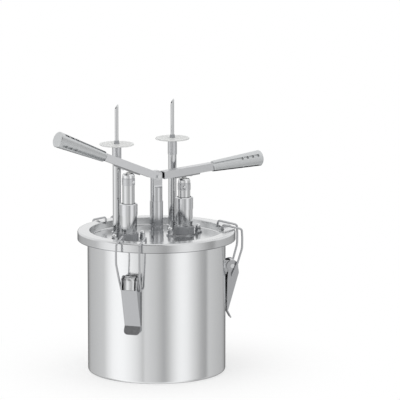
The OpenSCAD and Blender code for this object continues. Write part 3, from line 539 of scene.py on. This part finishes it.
for latch, turn in LATCH_TURNS.items():
    tongue = make_tongue(latch, turn)
    highest = max(corner.co.z for corner in tongue.data.vertices)
    print(tongue.name, "has", len(tongue.data.polygons), "faces, up to",
          round(highest / MM, 1), "mm")

# %% [markdown]
# ## Return springs
# A spring inside each cylinder lifts its plunger again. The imported springs are rigid, and a real
# one shortens with the stroke. So a copy of each stands for it, with its loose triangles merged,
# and rides on the pot in place of the hidden imported spring, at its imported length. The right
# plunger is partly pressed at rest. The springs stay hidden in the closed cylinders.

# %% Copies of the springs
SAME_POINT = 0.001 * MM


def longest_travel(joint):
    """The larger travel of a slide from its rest, in metres."""
    found = next(j for j in frame["record"]["behaviour"]["joints"] if j["name"] == joint)
    return max(abs(limit) for limit in found["range_m"])


def live_spring(side):
    """A copy of one imported spring, with its loose triangles merged, on the body of the pot."""
    node = "return_spring_" + side
    coils = cad[node].data.copy()
    loose = bmesh.new()
    loose.from_mesh(coils)
    bmesh.ops.remove_doubles(loose, verts=loose.verts, dist=SAME_POINT)
    loose.to_mesh(coils)
    loose.free()
    spring = bpy.data.objects.new("live_spring_" + side, coils)
    scene.collection.objects.link(spring)
    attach(spring, "pot")
    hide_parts(node)
    stroke = longest_travel("plunger_%s_slide" % side)
    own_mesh(spring)


for side in ("left", "right"):
    live_spring(side)

# %% [markdown]
# ## Plastic and rubber
# The rest discs are turned from milky polyethylene, which lets a little light through. Collars,
# wear pads and the cone nuts are grey acetal, and the seals are white plastic and black rubber.
# Plastic has a soft orange-peel skin, which a fine noise gives, and its colour wanders by a
# hair over a slow noise, because it is never mixed quite evenly.

# %% Plastic and rubber finishes
CLOUD_SIZE = 12 * MM
GLOSS_SPREAD = 0.04
PLASTIC_IOR = 1.5
LIGHT_REACH = 3 * MM  # how far light wanders below the skin


def plastic(name, tint, shade_tint, roughness, spacing, depth, inside=0.0):
    """A moulded or turned plastic. Its colour wanders between two tints, spacing and depth are
    those of its orange peel, and inside is how much light scatters below the skin."""
    material, tree, output = new_material(name)
    peel = add(tree, "ShaderNodeTexNoise",
               {"Vector": even_grain(spacing)(tree), "Scale": 1.0, "Detail": 3.0})
    cloud = add(tree, "ShaderNodeTexNoise",
                {"Vector": even_grain(CLOUD_SIZE)(tree), "Scale": 1.0, "Detail": 2.0})
    tone = add(tree, "ShaderNodeMix",
               {"Factor": cloud.outputs["Fac"], "A": colour(tint), "B": colour(shade_tint)},
               data_type="RGBA")
    gloss = add(tree, "ShaderNodeMapRange",
                {"Value": peel.outputs["Fac"], "From Min": NOISE_LOW, "From Max": NOISE_HIGH,
                 "To Min": roughness - GLOSS_SPREAD, "To Max": roughness + GLOSS_SPREAD})
    relief = add(tree, "ShaderNodeBump",
                 {"Height": peel.outputs["Fac"], "Distance": depth, "Strength": 1.0})
    shade = add(tree, "ShaderNodeBsdfPrincipled",
                {"Base Color": tone.outputs["Result"], "Roughness": gloss.outputs[0],
                 "Normal": relief.outputs[0], "IOR": PLASTIC_IOR, "Subsurface Weight": inside,
                 "Subsurface Radius": (1.0, 1.0, 1.0), "Subsurface Scale": LIGHT_REACH})
    tree.links.new(shade.outputs[0], output.inputs["Surface"])
    return material


milky_plastic = plastic("milky polyethylene", "#d2d3d2", "#cbcccb", roughness=0.4,
                        spacing=1.5 * MM, depth=0.01 * MM, inside=0.3)
grey_acetal = plastic("grey acetal", "#97999c", "#8f9194", roughness=0.42,
                      spacing=0.8 * MM, depth=0.006 * MM)
pale_acetal = plastic("pale grey acetal", "#909193", "#88898b", roughness=0.42,
                      spacing=0.8 * MM, depth=0.006 * MM)
white_seal = plastic("white sealing plastic", "#f1f1ef", "#e8e8e5", roughness=0.4,
                     spacing=1.0 * MM, depth=0.006 * MM)
black_rubber = plastic("black nitrile rubber", "#1c1c1d", "#232324", roughness=0.6,
                       spacing=0.6 * MM, depth=0.01 * MM)
paint(milky_plastic, "rest_disc_left", "rest_disc_right")
paint(grey_acetal, "pump_collars", "cone_nuts")
paint(pale_acetal, "wear_pad_left", "wear_pad_right")
paint(white_seal, "gland_seals", "lid_gasket", "contact_button_left", "contact_button_right")
paint(black_rubber, "piston_seals_left", "piston_seals_right")
bare = [name for name, piece in cad.items() if not piece.data.materials[0].use_nodes]
print("nodes without a finish:", bare)

# %% [markdown]
# ## Camera
# The photograph was taken with a long lens from the front left and a little above. A long lens
# far away keeps the pot's wall parallel, so the camera stands 5.5 m off and its focal length
# follows from how much width the frame shows there. The aim is given from a point that is easy
# to find in the picture: the middle of the lid's top.

# %% Camera
CAMERA_TURN = math.radians(-33.7)
CAMERA_RISE = math.radians(10.4)
CAMERA_FAR = 5.5
IMAGE_WIDTH = 400  # pixels
PIXEL = 1.448 * MM  # what one pixel shows at the pot's axis
AIM_RIGHT = 63.0 * MM
AIM_UP = 42.4 * MM
SENSOR = 36  # millimetres, the unit of a lens
SIGHT_END = 60  # metres, well past the far side of the studio

to_camera = Vector((math.sin(CAMERA_TURN), -math.cos(CAMERA_TURN), 0))
across = Vector((math.cos(CAMERA_TURN), math.sin(CAMERA_TURN), 0))
forward = -(to_camera * math.cos(CAMERA_RISE) + Vector((0, 0, math.sin(CAMERA_RISE))))
upward = across.cross(forward)
lid_top = Vector((0, 0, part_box("lid")[1].z))
aim = lid_top + across * AIM_RIGHT + upward * AIM_UP

lens = bpy.data.cameras.new("long lens")
lens.sensor_width = SENSOR
lens.lens = SENSOR * CAMERA_FAR / (IMAGE_WIDTH * PIXEL)
lens.clip_end = SIGHT_END
camera = bpy.data.objects.new("camera", lens)
camera.location = aim - forward * CAMERA_FAR
camera.rotation_euler = forward.to_track_quat("-Z", "Y").to_euler()
scene.collection.objects.link(camera)
scene.camera = camera
print("focal length", round(lens.lens), "mm")

# %% [markdown]
# ## Studio
# Polished steel is seen almost only by what it mirrors. The world is plain white wherever the
# camera or a mirrored ray looks straight at it, and lights everything else evenly.

# %% White world
EVEN_LIGHT = 0.95


def light_path(tree, *kinds):
    """1 for every ray of the named kinds, 0 for all others."""
    path = add(tree, "ShaderNodeLightPath")
    total = path.outputs[kinds[0]]
    for kind in kinds[1:]:
        either = add(tree, "ShaderNodeMath", {0: total, 1: path.outputs[kind]},
                     operation="MAXIMUM")
        total = either.outputs[0]
    return total


world = bpy.data.worlds.new("studio")
scene.world = world
world.use_nodes = True
sky = world.node_tree
sky.nodes.clear()
room_light = add(sky, "ShaderNodeBackground", {"Color": (1, 1, 1, 1), "Strength": EVEN_LIGHT})
plain_white = add(sky, "ShaderNodeBackground", {"Color": (1, 1, 1, 1), "Strength": 1.0})
looked_at = light_path(sky, "Is Camera Ray", "Is Glossy Ray", "Is Transmission Ray")
chosen = add(sky, "ShaderNodeMixShader",
             {"Fac": looked_at, 1: room_light.outputs[0], 2: plain_white.outputs[0]})
add(sky, "ShaderNodeOutputWorld", {"Surface": chosen.outputs[0]})
print("even light", EVEN_LIGHT)

# %% [markdown]
# Soft boxes and dark cloths stand round a photographer's table, and steel mirrors them. Here they
# are curved curtains that glow in one tone or in a pattern. Only mirrored rays find them, so they
# can be bright or dark without changing the light on the machine.

# %% Curtains that steel mirrors
RING_RADIUS = 5.0
PANEL_TURN = 3  # degrees from one upright seam of a curtain to the next


def glowing(name, tone):
    """A material that gives off one tone. tone is a number or a function of the tree."""
    material, tree, output = new_material(name)
    tint = tone(tree) if callable(tone) else (tone, tone, tone, 1)
    glow = add(tree, "ShaderNodeEmission", {"Color": tint, "Strength": 1.0})
    tree.links.new(glow.outputs[0], output.inputs["Surface"])
    return material


def stage_piece(name, points, faces, material):
    """A piece of the studio, which is never part of the machine."""
    mesh = bpy.data.meshes.new(name)
    mesh.from_pydata(points, [], faces)
    mesh.materials.append(material)
    piece = bpy.data.objects.new(name, mesh)
    scene.collection.objects.link(piece)
    return piece


def curtain(name, bearings, heights, tone):
    """A curved wall of the studio between two bearings from the camera and two heights."""
    first, last = bearings
    steps = round((last - first) / PANEL_TURN)
    points = []
    for step in range(steps + 1):
        turn = math.radians(first + (last - first) * step / steps)
        foot = (to_camera * math.cos(turn) + across * math.sin(turn)) * RING_RADIUS
        points += [(foot.x, foot.y, height) for height in heights]
    faces = [(2 * i, 2 * i + 2, 2 * i + 3, 2 * i + 1) for i in range(steps)]
    piece = stage_piece(name, points, faces, glowing(name, tone))
    piece.visible_camera = False
    piece.visible_diffuse = False
    piece.visible_shadow = False
    print(name, "has", len(faces), "panels")


print("curtains stand", RING_RADIUS, "m from the pot's axis")

# %% [markdown]
# A ring of soft boxes with grey gaps between them stands all round, described by its brightness
# at each bearing from the camera. The tones run from behind the machine past the camera's left
# hand, the camera and its right hand, and back. Two wide soft boxes stand at 66 degrees left and
# 43 degrees right, and the dark notches are the gaps between them. A camera that looks down a
# little sees in an upright wall what lies a little below the horizon, so the ring reaches far
# down. In front it also rises, because rounded edges and rough walls mirror what stands higher.

# %% Ring of soft boxes
STUDIO_RING = [  # bearing from the camera in degrees, positive to its right, and brightness
    (-180, 0.15), (-165, 0.15), (-152, 0.42), (-143, 0.55), (-97, 0.72), (-88, 0.95), (-78, 1.13),
    (-66, 1.20), (-56, 1.18), (-44, 1.07), (-33, 0.93), (-25, 0.76), (-22, 0.62), (-19, 0.83),
    (-1, 0.69), (5, 0.60), (13, 0.49), (19, 0.62), (27, 0.86), (35, 1.05), (43, 1.13), (52, 1.07),
    (60, 0.92), (70, 0.73), (80, 0.53), (90, 0.43), (97, 0.70), (143, 0.53), (154, 0.38),
    (165, 0.15), (180, 0.15),
]
RING_BOTTOM = -8.0
RING_EDGE = 0.35
FRONT_EDGE = 2.6


def ring_tone(tree):
    """The ring's brightness at the bearing of the point being shaded."""
    point = add(tree, "ShaderNodeTexCoord").outputs["Object"]
    facing = add(tree, "ShaderNodeMapping",
                 {"Vector": point, "Rotation": (0, 0, math.pi / 2 - CAMERA_TURN)})
    bearing = add(tree, "ShaderNodeTexGradient", {"Vector": facing.outputs[0]},
                  gradient_type="RADIAL")
    ramp = add(tree, "ShaderNodeValToRGB", {"Fac": bearing.outputs["Fac"]})
    stops = ramp.color_ramp.elements
    for number, (degrees, tone) in enumerate(STUDIO_RING):
        place = degrees / 360 + 0.5
        # A new ramp already has two stops, which take the first two tones.
        stop = stops[number] if number < 2 else stops.new(place)
        stop.position = place
        stop.color = (tone, tone, tone, 1)
    return ramp.outputs["Color"]


curtain("soft boxes all round", (-180, 180), (RING_BOTTOM, RING_EDGE), ring_tone)
curtain("soft boxes in front", (-100, 100), (RING_EDGE, FRONT_EDGE), ring_tone)

# %% [markdown]
# The room behind the camera is unlit above the left soft box. It puts the dark edges on domed
# nuts, on bent wire and on what leans back towards the camera, such as the lips of the latches.

# %% Unlit room
ROOM_TOP = 8.5
ROOM_TONE = 0.25
curtain("unlit room", (-80, 14), (FRONT_EDGE, ROOM_TOP), ROOM_TONE)

# %% [markdown]
# ## Floor and lamp
# The machine stands on a white sheet. The camera sees it as paper white with the soft shadow that
# the pot leaves round its foot, and the shadow fades into plain white further out. Mirrored rays
# pass through the sheet to the ring, as they do on the glass table that such photographs are
# taken on.

# %% White floor
FADE_START, FADE_END = 0.13, 0.3  # metres from the pot's axis
WHITE_AT_FOOT = 0.4  # how much plain white already thins the shadow at the foot
HALF_FLOOR = 8.0
FLOOR_GAP = 0.2 * MM  # keeps the sheet clear of the pot's own bottom


def white_floor():
    """The floor's material: paper that shows the shadow near the pot and fades into white."""
    material, tree, output = new_material("white studio floor")
    paper = add(tree, "ShaderNodeBsdfDiffuse", {"Color": colour("#fdfdfd")})
    glow = add(tree, "ShaderNodeEmission", {"Color": (1, 1, 1, 1), "Strength": 1.0})
    point = add(tree, "ShaderNodeTexCoord").outputs["Object"]
    away = add(tree, "ShaderNodeVectorMath", {0: point}, operation="LENGTH")
    fade = add(tree, "ShaderNodeMapRange",
               {"Value": away.outputs["Value"], "From Min": FADE_START, "From Max": FADE_END,
                "To Min": WHITE_AT_FOOT, "To Max": 1.0})
    lit = add(tree, "ShaderNodeMixShader",
              {"Fac": fade.outputs[0], 1: paper.outputs[0], 2: glow.outputs[0]})
    final = add(tree, "ShaderNodeMixShader",
                {"Fac": light_path(tree, "Is Camera Ray"), 1: paper.outputs[0], 2: lit.outputs[0]})
    tree.links.new(final.outputs[0], output.inputs["Surface"])
    return material


floor_corners = [(-HALF_FLOOR, -HALF_FLOOR), (HALF_FLOOR, -HALF_FLOOR),
                 (HALF_FLOOR, HALF_FLOOR), (-HALF_FLOOR, HALF_FLOOR)]
floor = stage_piece("floor", [(x, y, -FLOOR_GAP) for x, y in floor_corners], [(0, 1, 2, 3)],
                    white_floor())
floor.visible_glossy = False
print("shadow fades from", FADE_START, "to", FADE_END, "m")

# %% [markdown]
# One large lamp overhead gives the light a direction, from the camera's side and its left. Steel
# would mirror it as a hard white patch, so mirrored rays don't see it.

# %% Overhead lamp
LAMP_LENGTH, LAMP_WIDTH = 1.6, 1.2
LAMP_WATTS = 8
LAMP_NEARER, LAMP_LEFT, LAMP_HEIGHT = 0.9, 0.8, 2.2
LAMP_TARGET = Vector((0, 0, 0.2))

overhead = bpy.data.lights.new("overhead soft box", "AREA")
overhead.shape = "RECTANGLE"
overhead.size = LAMP_LENGTH
overhead.size_y = LAMP_WIDTH
overhead.energy = LAMP_WATTS
lamp = bpy.data.objects.new("overhead soft box", overhead)
lamp.location = to_camera * LAMP_NEARER - across * LAMP_LEFT + Vector((0, 0, LAMP_HEIGHT))
lamp.rotation_euler = (LAMP_TARGET - lamp.location).to_track_quat("-Z", "Y").to_euler()
lamp.visible_glossy = False
scene.collection.objects.link(lamp)
print("lamp at", [round(v, 2) for v in lamp.location])

# %% [markdown]
# ## Finish
# The Standard view shows colours as they are written.

# %% View settings
scene.view_settings.view_transform = "Standard"
